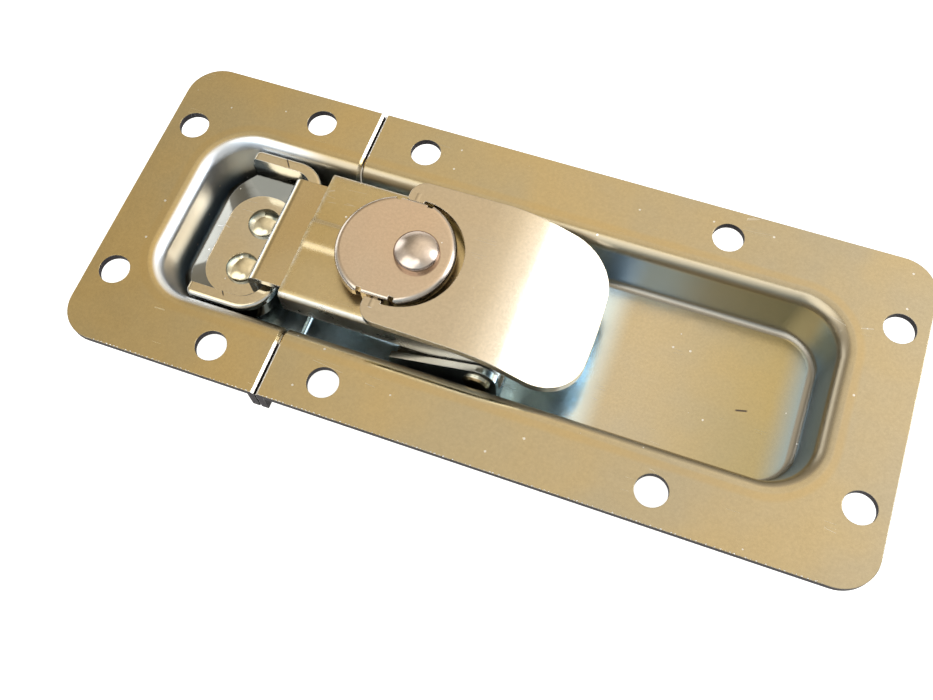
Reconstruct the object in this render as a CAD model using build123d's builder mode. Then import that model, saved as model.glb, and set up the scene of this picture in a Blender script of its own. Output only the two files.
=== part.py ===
from build123d import *
import math
import os

# Butterfly latch in a two-part recessed dish, shown locked.
# X runs along the latch and is 0 at the seam between the halves, +X towards the long half.
# Y runs across it, and Z = 0 is the underside of the flanges, where the case panel sits.

# Flanges
dish_sheet = 1.2
flange_width = 53.6
latch_half_length = 92.5
keeper_half_length = 34.5
flange_corner = 5.8
seam_gap = 0.3
seam_chamfer = 0.4
seam_lip_drop = 4.0

# Rivet holes in the flanges
hole_diameter = 5.0
side_hole_inset = 5.05
end_hole_inset = 4.3
end_hole_span = 29.2
latch_hole_from_seam = 9.2
latch_hole_pitch = 51.0
keeper_hole_from_seam = 9.6

# Recess: its lands are the flat flange left round it, its runs are how far the walls lean in
recess_depth = 9.0
side_land = 11.8
latch_end_land = 11.5
keeper_end_land = 9.75
side_wall_run = 1.85
latch_end_wall_run = 1.7
keeper_end_wall_run = 1.5
recess_corner = 7.5
rim_radius = 2.4
floor_radius = 1.2
recess_overrun = 15.0
flange_overrun = 30.0
cut_overrun = 1.0

# Base bracket and its pivot pin
bracket_sheet = 1.1
bracket_side_gap = 0.25
bracket_bend = 2.8
pin_x = 30.4
pin_height = 5.5
pin_radius = 1.5
pin_head_radius = 2.2
pin_head_height = 0.6
pin_head_chamfer = 0.35
ear_front_reach = 14.5
ear_back_reach = 3.2
ear_front_height = 4.5
ear_top_height = 9.6
ear_corner = 2.9
tongue_length = 10.5
tongue_width = 17.0
tongue_corner = 4.2
bracket_rivet_spread = 12.4
bracket_rivet_setback = 6.2

# Channel cover, swinging on the pivot pin
cover_sheet = 1.5
cover_side_gap = 0.25
cover_bend = 1.0
cover_inner_bend = 0.3
cover_rise = 6.7
cover_reach = 32.7
cover_back_reach = 2.0
cover_wall_depth = 5.2
lug_radius = 3.2
lug_blend = 1.2
pin_clearance = 0.06
rib_base = 5.4
rib_crown = 3.6
rib_height = 0.4
rib_end_from_hub = 7.2
guide_tab_length = 4.0
guide_tab_setback = 2.0
guide_tab_depth = 1.4
guide_tab_thickness = 1.1

# Hook plate, sliding under the cover
hook_sheet = 1.2
hook_side_gap = 0.45
hook_top_gap = 0.15
hook_reach = 25.65
hook_tail = 6.8
hook_lip_drop = 5.4
hook_bend = 1.7
slot_slack = 0.85
slot_end_slack = 0.4
guide_gap = 0.2

# Hub: the round plate with two turned-down ears, and the boss that turns in the cover
hub_to_pin = 17.3
hub_radius = 9.4
hub_sheet = 1.8
hub_edge = 1.0
ear_chord = 8.65
ear_width = 4.35
ear_thickness = 1.55
ear_drop = 3.15
ear_bend = 0.5
ear_relief = 0.85
ear_relief_depth = 0.6
boss_radius = 6.2
boss_height = 1.9
boss_gap = 0.1
journal_radius = 5.55
journal_clearance = 0.1

# Crank rivet through the hub, off its centre, and the washer under the hook plate
crank_offset = 3.6
crank_radius = 1.6
crank_head_radius = 3.55
crank_head_edge = 0.95
crank_head_rise = 0.8
crank_head_round = 0.6
crank_tail_radius = 2.5
crank_tail_height = 0.8
crank_washer_radius = 4.2
crank_washer_thickness = 1.0
crank_washer_gap = 0.1

# Wing and its hinge on the hub ears
wing_sheet = 1.5
wing_hinge_width = 25.2
wing_end_width = 26.0
wing_length = 32.45
wing_heel = 1.5
wing_heel_corner = 2.6
wing_tip_corner = 7.5
wing_tip_bow = 0.8
wing_flat = 12.9
wing_bend_radius = 21.0
wing_bend_angle = 27.0
wing_cut_radius = 9.4
wing_cut_shift = 1.3
wing_below_hinge = 0.3
hinge_below_hub_top = 1.9
hinge_pin_radius = 0.7
hinge_clearance = 0.06
wing_ear_gap = 0.25
wing_ear_radius = 1.25

# Keeper riveted in the short half, with a rolled rim that the hook pulls on
keeper_sheet = 0.9
keeper_side_gap = 0.3
keeper_roll = 1.1
keeper_roll_height = 1.6
keeper_top_gap = 1.35
keeper_corner = 4.4
keeper_lip_gap = 1.05
keeper_pad_inset = 3.3
keeper_pad_corner = 5.5
keeper_pad_corner_share = 0.495
keeper_pad_front = 1.2
keeper_slope_height = 1.9
keeper_end_gap = 1.3
keeper_arm_setback = 3.6
keeper_back_corner_gap = 1.0
keeper_rivet_spread = 9.0
keeper_roll_edge = 0.75
keeper_arm_round = 1.0

# Small rivets of the bracket and the keeper
rivet_radius = 1.5
rivet_head_radius = 2.8
rivet_head_edge = 0.6
rivet_head_rise = 0.35
rivet_head_round = 0.35
rivet_tail_radius = 2.3
rivet_tail_height = 0.7
rivet_tail_bevel = 0.35

# Levels
dish_top = dish_sheet
floor_z = dish_top - recess_depth
floor_underside = floor_z - dish_sheet
pin_z = floor_z + pin_height
cover_top = pin_z + cover_rise
cover_underside = cover_top - cover_sheet
hook_top = cover_underside - hook_top_gap
hook_underside = hook_top - hook_sheet
boss_bottom = cover_top + boss_gap
hub_underside = boss_bottom + boss_height
hub_top = hub_underside + hub_sheet
hinge_z = hub_top - hinge_below_hub_top
wing_underside = hinge_z - wing_below_hinge
wing_top = wing_underside + wing_sheet
crank_washer_top = hook_underside - crank_washer_gap
crank_washer_bottom = crank_washer_top - crank_washer_thickness
keeper_top = hook_underside - keeper_top_gap
keeper_roll_bottom = keeper_top - keeper_roll_height

# Places along and across the latch
flange_half = flange_width / 2
recess_rim_half = flange_half - side_land
recess_floor_half = recess_rim_half - side_wall_run
bracket_half = recess_floor_half - bracket_side_gap
bracket_inner_half = bracket_half - bracket_sheet
cover_half = bracket_inner_half - cover_side_gap
cover_inner_half = cover_half - cover_sheet
hook_half = cover_inner_half - hook_side_gap
bracket_front = pin_x - ear_front_reach
bracket_back = pin_x + ear_back_reach
cover_front = pin_x - cover_reach
cover_back = pin_x + cover_back_reach
hub_x = pin_x - hub_to_pin
crank_x = hub_x + crank_offset
hook_front = crank_x - hook_reach
hook_back = crank_x + hook_tail
keeper_inner_x = hook_front + hook_sheet + keeper_lip_gap


def wall_share(z):
    # 0 at the top of the flange, 1 at the floor of the recess
    return (dish_top - z) / recess_depth


def recess_half_at(z):
    return recess_rim_half - side_wall_run * wall_share(z)


def recess_block(rim_reach, wall_run, grow, top):
    # Solid that fills the recess, its walls leaning in, grown outwards by a sheet for the underside
    low, high = wall_share(floor_z - grow), wall_share(top)
    with BuildPart() as block:
        with BuildSketch(Plane.YZ):
            with BuildLine():
                low_half = recess_rim_half - side_wall_run * low + grow
                high_half = recess_rim_half - side_wall_run * high + grow
                Polyline(
                    (-low_half, floor_z - grow),
                    (low_half, floor_z - grow),
                    (high_half, top),
                    (-high_half, top),
                    close=True,
                )
            make_face()
        extrude(amount=rim_reach + recess_overrun, both=True)
        with BuildSketch(Plane.XZ):
            with BuildLine():
                Polyline(
                    (-recess_overrun, floor_z - grow),
                    (rim_reach - wall_run * low + grow, floor_z - grow),
                    (rim_reach - wall_run * high + grow, top),
                    (-recess_overrun, top),
                    close=True,
                )
            make_face()
        extrude(amount=flange_half, both=True, mode=Mode.INTERSECT)
        leaning_edges = block.edges().filter_by(lambda edge: edge.bounding_box().size.Z > recess_depth / 2)
        fillet(leaning_edges.group_by(Axis.X)[-1], recess_corner + grow)
        bottom_face = block.faces().sort_by(Axis.Z)[0]
        fillet(bottom_face.edges(), floor_radius + grow)
    return block.part


def inside_land(point, rim_reach):
    # True on the rim of the recess, false on the outline of the flange and on the seam
    return seam_gap < point.X < rim_reach + rim_radius and abs(point.Y) < flange_half - side_land / 2


def on_upper_side(point):
    # True on the side of the sheet that is seen from above
    if point.Z > dish_top / 2:
        return True
    inside_wall = abs(point.Y) < recess_half_at(point.Z) + dish_sheet - seam_chamfer
    return inside_wall and point.Z > floor_z - dish_sheet / 2


def drawn_dish(length, rim_reach, wall_run, hole_points):
    # One half, its open end at X = 0 and its closed end towards +X
    with BuildPart() as dish:
        with BuildSketch(Plane.XY):
            with Locations(((length - flange_overrun) / 2, 0)):
                RectangleRounded(length + flange_overrun, flange_width, flange_corner)
        extrude(amount=dish_sheet)
        add(recess_block(rim_reach, wall_run, dish_sheet, dish_sheet / 2))
        add(recess_block(rim_reach, wall_run, 0, dish_top), mode=Mode.SUBTRACT)
        split(bisect_by=Plane.YZ.offset(seam_gap / 2), keep=Keep.TOP)
        top_edges = dish.faces().filter_by(Plane.XY).sort_by(Axis.Z)[-1].edges()
        rim_edges = [edge for edge in top_edges if inside_land(edge.center(), rim_reach)]
        fillet(rim_edges, rim_radius)
        underside_edges = dish.faces().filter_by(Plane.XY).group_by(Axis.Z)[-2][0].edges()
        bend_edges = [edge for edge in underside_edges if inside_land(edge.center(), rim_reach)]
        fillet(bend_edges, rim_radius - dish_sheet)
        seam_edges = dish.edges().group_by(Axis.X)[0]
        chamfer([edge for edge in seam_edges if on_upper_side(edge.center())], seam_chamfer)
        lip_inner = recess_half_at(0) + dish_sheet + rim_radius
        with BuildSketch(Plane.YZ.offset(seam_gap / 2)):
            with Locations((0, -seam_lip_drop / 2)):
                Rectangle(flange_width, seam_lip_drop)
                Rectangle(2 * lip_inner, seam_lip_drop, mode=Mode.SUBTRACT)
        extrude(amount=dish_sheet)
        with Locations([(x, y, dish_top) for x, y in hole_points]):
            Hole(hole_diameter / 2)
    return dish.part


def row_across(x, spread):
    return [(x, -spread / 2), (x, spread / 2)]


def cross_channel(x_start, half, low, high, bend, length, mode, bend_side):
    # Prism along X whose two lower or upper corners are rounded
    with BuildSketch(Plane.YZ.offset(x_start)) as section:
        with Locations((0, (low + high) / 2)):
            Rectangle(2 * half, high - low)
        fillet(section.vertices().group_by(Axis.Y)[bend_side], bend)
    extrude(section.sketch, amount=length, mode=mode)


side_hole_span = flange_width - 2 * side_hole_inset
latch_end_hole_x = latch_half_length - end_hole_inset
latch_holes = row_across(latch_hole_from_seam, side_hole_span)
latch_holes += row_across(latch_hole_from_seam + latch_hole_pitch, side_hole_span)
latch_holes += row_across(latch_end_hole_x, end_hole_span)
keeper_holes = row_across(keeper_hole_from_seam, side_hole_span)
keeper_holes += row_across(keeper_half_length - end_hole_inset, end_hole_span)
latch_rim_reach = latch_half_length - latch_end_land
keeper_rim_reach = keeper_half_length - keeper_end_land

bracket_rivet_x = pin_x - bracket_rivet_setback
tongue_rivet_x = bracket_front - tongue_length / 2
bracket_rivet_points = [(tongue_rivet_x, 0)] + row_across(bracket_rivet_x, bracket_rivet_spread)

keeper_back_x = -(keeper_rim_reach - keeper_end_wall_run) + keeper_end_gap
keeper_rivet_x = (keeper_back_x + keeper_inner_x) / 2
keeper_rivet_points = row_across(keeper_rivet_x, keeper_rivet_spread)

latch_blank = drawn_dish(latch_half_length, latch_rim_reach, latch_end_wall_run, latch_holes)
keeper_blank = drawn_dish(keeper_half_length, keeper_rim_reach, keeper_end_wall_run, keeper_holes)

# Long half, with three rivet holes in its floor for the bracket
with BuildPart() as latch_dish:
    add(latch_blank)
    with Locations([(x, y, floor_z) for x, y in bracket_rivet_points]):
        Hole(rivet_radius, depth=dish_sheet)

# Short half, the same drawing turned to face the seam
with BuildPart() as keeper_dish:
    add(mirror(keeper_blank, about=Plane.YZ))
    with Locations([(x, y, floor_z) for x, y in keeper_rivet_points]):
        Hole(rivet_radius, depth=dish_sheet)

# Bracket: a channel open at the top, its sides cut down towards the front, with a tongue
bracket_top = floor_z + bracket_sheet
ear_top = floor_z + ear_top_height
bracket_length = bracket_back - bracket_front

with BuildPart() as base_bracket:
    cross_channel(
        bracket_front, bracket_half, floor_z, ear_top, bracket_bend, bracket_length, Mode.ADD, 0
    )
    cross_channel(
        bracket_front,
        bracket_inner_half,
        bracket_top,
        ear_top + cut_overrun,
        bracket_bend - bracket_sheet,
        bracket_length,
        Mode.SUBTRACT,
        0,
    )
    with BuildSketch(Plane.XZ) as ear_outline:
        with BuildLine():
            Polyline(
                (bracket_front, floor_z),
                (bracket_back, floor_z),
                (bracket_back, ear_top),
                (pin_x, ear_top),
                (bracket_front, floor_z + ear_front_height),
                close=True,
            )
        make_face()
        back_corner = ear_outline.vertices().group_by(Axis.Y)[-1].sort_by(Axis.X)[-1]
        fillet(back_corner, ear_corner)
    extrude(amount=bracket_half, both=True, mode=Mode.INTERSECT)
    with BuildSketch(Plane.XY.offset(floor_z)) as tongue:
        with Locations((bracket_front - tongue_length / 2, 0)):
            Rectangle(tongue_length, tongue_width)
        fillet(tongue.vertices().group_by(Axis.X)[0], tongue_corner)
    extrude(amount=bracket_sheet)
    with BuildSketch(Plane.XZ):
        with Locations((pin_x, pin_z)):
            Circle(pin_radius)
    extrude(amount=bracket_half, both=True, mode=Mode.SUBTRACT)
    with Locations([(x, y, bracket_top) for x, y in bracket_rivet_points]):
        Hole(rivet_radius, depth=bracket_sheet)


def dome_arc(axis_x, radius, low, rise):
    # Arc from the rim of a domed head to its crown on the axis
    sphere = (radius**2 + rise**2) / (2 * rise)
    middle = low + rise - sphere + math.sqrt(sphere**2 - radius**2 / 4)
    ThreePointArc((axis_x + radius, low), (axis_x + radius / 2, middle), (axis_x, low + rise))


def turned_rivet(axis_x, shank, head, edge, rise, head_round, seat, tail, tail_height, tail_seat):
    # Domed rivet on a vertical axis: head above its seat, tail below the other seat
    with BuildPart() as rivet:
        with BuildSketch(Plane.XZ) as profile:
            with BuildLine():
                Polyline(
                    (axis_x, tail_seat - tail_height),
                    (axis_x + tail - rivet_tail_bevel, tail_seat - tail_height),
                    (axis_x + tail, tail_seat - tail_height + rivet_tail_bevel),
                    (axis_x + tail, tail_seat),
                    (axis_x + shank, tail_seat),
                    (axis_x + shank, seat),
                    (axis_x + head, seat),
                    (axis_x + head, seat + edge),
                )
                dome_arc(axis_x, head, seat + edge, rise)
                Line((axis_x, seat + edge + rise), (axis_x, tail_seat - tail_height))
            make_face()
            head_rim = profile.vertices().sort_by_distance((axis_x + head, seat + edge))[0]
            fillet(head_rim, head_round)
        revolve(axis=Axis((axis_x, 0, 0), (0, 0, 1)))
    return rivet.part


bracket_rivet = turned_rivet(
    0,
    rivet_radius,
    rivet_head_radius,
    rivet_head_edge,
    rivet_head_rise,
    rivet_head_round,
    bracket_top,
    rivet_tail_radius,
    rivet_tail_height,
    floor_underside,
)
keeper_rivet = turned_rivet(
    0,
    rivet_radius,
    rivet_head_radius,
    rivet_head_edge,
    rivet_head_rise,
    rivet_head_round,
    floor_z + keeper_sheet,
    rivet_tail_radius,
    rivet_tail_height,
    floor_underside,
)

with BuildPart() as bracket_rivets:
    with Locations([(x, y, 0) for x, y in bracket_rivet_points]):
        add(bracket_rivet)

with BuildPart() as keeper_rivets:
    with Locations([(x, y, 0) for x, y in keeper_rivet_points]):
        add(keeper_rivet)

# Pivot pin, headed outside both ears
with BuildPart() as pivot_pin:
    with BuildSketch(Plane.XZ):
        with Locations((pin_x, pin_z)):
            Circle(pin_radius)
    extrude(amount=bracket_half, both=True)
    for side in (1, -1):
        with BuildSketch(Plane.XZ.offset(side * bracket_half)):
            with Locations((pin_x, pin_z)):
                Circle(pin_head_radius)
        extrude(amount=side * pin_head_height)
    head_rims = pivot_pin.edges().filter_by(GeomType.CIRCLE).sort_by(Axis.Y)
    chamfer([head_rims[0], head_rims[-1]], pin_head_chamfer)

# Channel cover: walls down to the lugs, a rib pressed up in front, a bore for the hub
wall_bottom = cover_top - cover_wall_depth
lug_bottom = pin_z - lug_radius
cover_length = cover_back - cover_front + lug_radius
rib_length = hub_x - rib_end_from_hub - cover_front
guide_top = hook_underside - guide_gap

with BuildPart() as channel_cover:
    cross_channel(
        cover_front, cover_half, lug_bottom - cut_overrun, cover_top, cover_bend, cover_length, Mode.ADD, -1
    )
    cross_channel(
        cover_front,
        cover_inner_half,
        lug_bottom - 2 * cut_overrun,
        cover_underside,
        cover_inner_bend,
        cover_length,
        Mode.SUBTRACT,
        -1,
    )
    with BuildSketch(Plane.XZ) as cover_side:
        with Locations(((cover_front + cover_back) / 2, (wall_bottom + cover_top) / 2)):
            Rectangle(cover_back - cover_front, cover_wall_depth)
        with Locations((pin_x, pin_z)):
            Circle(lug_radius)
        with BuildLine():
            Polyline(
                (pin_x - lug_radius, pin_z),
                (pin_x + lug_radius, pin_z),
                (cover_back, cover_top - cover_bend),
                (pin_x - lug_radius, wall_bottom + cut_overrun),
                close=True,
            )
        make_face()
        inner_corner = cover_side.vertices().sort_by_distance((pin_x - lug_radius, wall_bottom))[0]
        fillet(inner_corner, lug_blend)
    extrude(amount=cover_half, both=True, mode=Mode.INTERSECT)
    for level, operation in ((cover_top, Mode.ADD), (cover_underside, Mode.SUBTRACT)):
        with BuildSketch(Plane.YZ.offset(cover_front)):
            with BuildLine():
                Polyline(
                    (-rib_base / 2, level),
                    (-rib_crown / 2, level + rib_height),
                    (rib_crown / 2, level + rib_height),
                    (rib_base / 2, level),
                    close=True,
                )
            make_face()
        extrude(amount=rib_length, mode=operation)
    for side in (1, -1):
        with BuildSketch(Plane.XY.offset(guide_top)):
            with Locations(
                (
                    cover_front + guide_tab_setback + guide_tab_length / 2,
                    side * (cover_inner_half - guide_tab_depth / 2),
                )
            ):
                Rectangle(guide_tab_length, guide_tab_depth)
        extrude(amount=-guide_tab_thickness)
    with Locations((hub_x, 0, cover_top)):
        Hole(journal_radius + journal_clearance, depth=cover_sheet)
    with BuildSketch(Plane.XZ):
        with Locations((pin_x, pin_z)):
            Circle(pin_radius + pin_clearance)
    extrude(amount=cover_half, both=True, mode=Mode.SUBTRACT)

# Hook plate: flat, with its front end turned down behind the keeper and a cross slot
slot_width = 2 * (crank_radius + slot_slack)
slot_length = 2 * (crank_offset + crank_radius + slot_end_slack)

with BuildPart() as hook_plate:
    with BuildSketch(Plane.XZ) as hook_side:
        with BuildLine():
            Polyline(
                (hook_front, hook_top),
                (hook_back, hook_top),
                (hook_back, hook_underside),
                (hook_front + hook_sheet, hook_underside),
                (hook_front + hook_sheet, hook_top - hook_lip_drop),
                (hook_front, hook_top - hook_lip_drop),
                close=True,
            )
        make_face()
        bend_outside = hook_side.vertices().sort_by_distance((hook_front, hook_top))[0]
        bend_inside = hook_side.vertices().sort_by_distance(
            (hook_front + hook_sheet, hook_underside)
        )[0]
        fillet(bend_outside, hook_bend)
        fillet(bend_inside, hook_bend - hook_sheet)
    extrude(amount=hook_half, both=True)
    with BuildSketch(Plane.XY.offset(hook_top)):
        with Locations((crank_x, 0)):
            SlotOverall(slot_length, slot_width, rotation=90)
    extrude(amount=-hook_sheet, mode=Mode.SUBTRACT)

# Hub plate: a disc with two ears turned down at its sides
ear_bottom = hub_top - ear_drop

with BuildPart() as hub_disc:
    with BuildSketch(Plane.XY.offset(hub_underside)):
        with Locations((hub_x, 0)):
            Circle(hub_radius)
    extrude(amount=hub_sheet)
    fillet(hub_disc.edges().sort_by(Axis.Z)[-1], hub_edge)
    with BuildSketch(Plane.XY.offset(hub_underside)):
        with Locations((hub_x, 0)):
            Rectangle(2 * hub_radius, 2 * ear_chord)
    extrude(amount=hub_sheet, mode=Mode.INTERSECT)
    for side in (1, -1):
        with BuildSketch(Plane.XY.offset(hub_underside)):
            for shift in (1, -1):
                relief_x = hub_x + shift * (ear_width + ear_relief) / 2
                with Locations((relief_x, side * (ear_chord - ear_relief_depth / 2))):
                    Rectangle(ear_relief, ear_relief_depth)
        extrude(amount=hub_sheet, mode=Mode.SUBTRACT)
        with BuildSketch(Plane.XY.offset(ear_bottom)):
            with Locations((hub_x, side * (ear_chord - ear_thickness / 2))):
                Rectangle(ear_width, ear_thickness)
        extrude(amount=ear_drop)
    top_lines = hub_disc.edges().filter_by(Axis.X).group_by(Axis.Z)[-1]
    ear_folds = [edge for edge in top_lines if abs(edge.center().Y) > ear_chord - ear_relief_depth / 2]
    fillet(ear_folds, ear_bend)
    with Locations((crank_x, 0, hub_top)):
        Hole(crank_radius, depth=hub_sheet)
    for side in (1, -1):
        with BuildSketch(Plane.XZ.offset(side * ear_chord)):
            with Locations((hub_x, hinge_z)):
                Circle(hinge_pin_radius)
        extrude(amount=-side * ear_thickness, mode=Mode.SUBTRACT)

# Boss: shoulder between cover and hub plate, journal turning in the bore of the cover
with BuildPart() as hub_boss:
    with BuildSketch(Plane.XY.offset(boss_bottom)):
        with Locations((hub_x, 0)):
            Circle(boss_radius)
    extrude(amount=boss_height)
    with BuildSketch(Plane.XY.offset(boss_bottom)):
        with Locations((hub_x, 0)):
            Circle(journal_radius)
    extrude(amount=-(cover_sheet + boss_gap))
    with Locations((crank_x, 0, hub_underside)):
        Hole(crank_radius)

crank_blank = turned_rivet(
    crank_x,
    crank_radius,
    crank_head_radius,
    crank_head_edge,
    crank_head_rise,
    crank_head_round,
    hub_top,
    crank_tail_radius,
    crank_tail_height,
    crank_washer_bottom,
)

with BuildPart() as crank_rivet:
    add(crank_blank)

with BuildPart() as crank_washer:
    with BuildSketch(Plane.XY.offset(crank_washer_bottom)):
        with Locations((crank_x, 0)):
            Circle(crank_washer_radius)
            Circle(crank_radius, mode=Mode.SUBTRACT)
    extrude(amount=crank_washer_thickness)

# Two short pins, fast in the hub ears, that the wing turns on
wing_ear_inner = ear_chord + wing_ear_gap

with BuildPart() as hinge_pins:
    for side in (1, -1):
        with BuildSketch(Plane.XZ.offset(side * (ear_chord - ear_thickness))):
            with Locations((hub_x, hinge_z)):
                Circle(hinge_pin_radius)
        extrude(amount=side * (ear_thickness + wing_ear_gap + wing_sheet))

# Wing: flat round the hub, then curved down to its tip, with two ears on the hinge pins
wing_heel_x = hub_x - wing_heel
wing_tip_x = hub_x + wing_length
wing_flat_end = (hub_x + wing_flat, wing_top)

with BuildPart() as wing:
    with BuildSketch(Plane.XZ):
        with BuildLine():
            flat_line = Line((wing_heel_x - cut_overrun, wing_top), wing_flat_end)
            bend_arc = JernArc(wing_flat_end, (1, 0), wing_bend_radius, -wing_bend_angle)
            Line(bend_arc @ 1, (bend_arc @ 1) + (bend_arc % 1) * wing_length)
            offset(amount=wing_sheet, side=Side.RIGHT)
        make_face()
    extrude(amount=wing_end_width, both=True)
    with BuildSketch(Plane.XY.offset(floor_z)) as wing_plan:
        with BuildLine():
            Line((wing_tip_x - wing_tip_bow, -wing_end_width / 2), (wing_heel_x, -wing_hinge_width / 2))
            Line((wing_heel_x, -wing_hinge_width / 2), (wing_heel_x, wing_hinge_width / 2))
            Line((wing_heel_x, wing_hinge_width / 2), (wing_tip_x - wing_tip_bow, wing_end_width / 2))
            ThreePointArc(
                (wing_tip_x - wing_tip_bow, wing_end_width / 2),
                (wing_tip_x, 0),
                (wing_tip_x - wing_tip_bow, -wing_end_width / 2),
            )
        make_face()
        fillet(wing_plan.vertices().group_by(Axis.X)[0], wing_heel_corner)
        fillet(wing_plan.vertices().group_by(Axis.X)[-1], wing_tip_corner)
        with Locations((hub_x + wing_cut_shift, 0)):
            Circle(wing_cut_radius, mode=Mode.SUBTRACT)
    extrude(amount=wing_top - floor_z, mode=Mode.INTERSECT)
    for side in (1, -1):
        with BuildSketch(Plane.XZ.offset(side * wing_ear_inner)):
            with Locations((hub_x, hinge_z)):
                Circle(wing_ear_radius)
            with Locations((hub_x, (hinge_z + wing_top) / 2)):
                Rectangle(2 * wing_ear_radius, wing_top - hinge_z)
        extrude(amount=side * wing_sheet)
    with BuildSketch(Plane.XZ):
        with Locations((hub_x, hinge_z)):
            Circle(hinge_pin_radius + hinge_clearance)
    extrude(amount=wing_ear_inner + wing_sheet, both=True, mode=Mode.SUBTRACT)

# Keeper: a pressed tray open at the back, its rim rolled outwards
keeper_half = recess_half_at(keeper_roll_bottom) - keeper_side_gap
keeper_wall_half = keeper_half - keeper_roll
keeper_wall_x = keeper_inner_x + keeper_sheet
keeper_front_x = keeper_wall_x + keeper_roll
keeper_arm_x = keeper_back_x + keeper_arm_setback
keeper_wall_foot = floor_z + keeper_slope_height
keeper_pad_half = keeper_wall_half - keeper_pad_inset
keeper_pad_back = keeper_back_x + keeper_pad_front
keeper_pad_front_x = keeper_wall_x - keeper_pad_inset
keeper_tray_back = keeper_pad_back - keeper_pad_inset
keeper_pad_length = keeper_pad_front_x - keeper_pad_back
keeper_pad_round = min(keeper_pad_corner, keeper_pad_corner_share * keeper_pad_length)


def tray_sketch(level, back, front, half, corner):
    with BuildSketch(Plane.XY.offset(level)) as outline:
        with Locations(((back + front) / 2, 0)):
            RectangleRounded(front - back, 2 * half, corner)
    return outline.sketch


def tray_solid(inset, lift, height, mode):
    # Tray with a flat pad, a sloping ring round it and upright walls
    pad = tray_sketch(
        floor_z + lift, keeper_pad_back, keeper_pad_front_x, keeper_pad_half, keeper_pad_round
    )
    foot = tray_sketch(
        keeper_wall_foot + lift,
        keeper_tray_back + inset,
        keeper_wall_x - inset,
        keeper_wall_half - inset,
        keeper_corner - inset,
    )
    loft(sections=[pad, foot], ruled=True, mode=mode)
    extrude(foot, amount=height, mode=mode)


with BuildPart() as keeper:
    tray_solid(0, 0, keeper_top - keeper_wall_foot, Mode.ADD)
    with BuildSketch(Plane.XZ):
        with BuildLine():
            Polyline(
                (keeper_back_x, floor_z),
                (keeper_wall_x, floor_z),
                (keeper_wall_x, keeper_top),
                (keeper_arm_x, keeper_top),
                (keeper_arm_x, keeper_roll_bottom),
                (keeper_back_x, keeper_wall_foot),
                close=True,
            )
        make_face()
    extrude(amount=keeper_wall_half, both=True, mode=Mode.INTERSECT)
    with BuildSketch(Plane.XY.offset(floor_z)) as tray_plan:
        with Locations(((keeper_back_x + keeper_wall_x) / 2, 0)):
            Rectangle(keeper_wall_x - keeper_back_x, 2 * keeper_wall_half)
        fillet(tray_plan.vertices().group_by(Axis.X)[0], recess_corner - keeper_back_corner_gap)
    extrude(amount=keeper_top - floor_z, mode=Mode.INTERSECT)
    with BuildSketch(Plane.XY.offset(keeper_roll_bottom)) as rim_plan:
        with Locations(((keeper_arm_x + keeper_front_x) / 2, 0)):
            Rectangle(keeper_front_x - keeper_arm_x, 2 * keeper_half)
        fillet(rim_plan.vertices().group_by(Axis.X)[-1], keeper_corner + keeper_roll)
        fillet(rim_plan.vertices().group_by(Axis.X)[0], keeper_arm_round)
    extrude(amount=keeper_roll_height)
    rim_top = keeper.faces().filter_by(Plane.XY).sort_by(Axis.Z)[-1]
    fillet(rim_top.outer_wire().edges(), keeper_roll_edge)
    tray_solid(keeper_sheet, keeper_sheet, keeper_top - keeper_wall_foot, Mode.SUBTRACT)
    with Locations([(x, y, floor_z + keeper_sheet) for x, y in keeper_rivet_points]):
        Hole(rivet_radius, depth=keeper_sheet)

os.makedirs("parts", exist_ok=True)
latch_dish.part.label = "latch_dish"
keeper_dish.part.label = "keeper_dish"
base_bracket.part.label = "base_bracket"
bracket_rivets.part.label = "bracket_rivets"
pivot_pin.part.label = "pivot_pin"
channel_cover.part.label = "channel_cover"
hook_plate.part.label = "hook_plate"
hub_disc.part.label = "hub_disc"
hub_boss.part.label = "hub_boss"
crank_rivet.part.label = "crank_rivet"
crank_washer.part.label = "crank_washer"
hinge_pins.part.label = "hinge_pins"
wing.part.label = "wing"
keeper.part.label = "keeper"
keeper_rivets.part.label = "keeper_rivets"

export_step(latch_dish.part, "parts/latch_dish.step")
export_step(keeper_dish.part, "parts/keeper_dish.step")
export_step(base_bracket.part, "parts/base_bracket.step")
export_step(bracket_rivets.part, "parts/bracket_rivets.step")
export_step(pivot_pin.part, "parts/pivot_pin.step")
export_step(channel_cover.part, "parts/channel_cover.step")
export_step(hook_plate.part, "parts/hook_plate.step")
export_step(hub_disc.part, "parts/hub_disc.step")
export_step(hub_boss.part, "parts/hub_boss.step")
export_step(crank_rivet.part, "parts/crank_rivet.step")
export_step(crank_washer.part, "parts/crank_washer.step")
export_step(hinge_pins.part, "parts/hinge_pins.step")
export_step(wing.part, "parts/wing.step")
export_step(keeper.part, "parts/keeper.step")
export_step(keeper_rivets.part, "parts/keeper_rivets.step")
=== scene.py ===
import math
import bpy
from mathutils import Matrix, Vector


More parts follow.
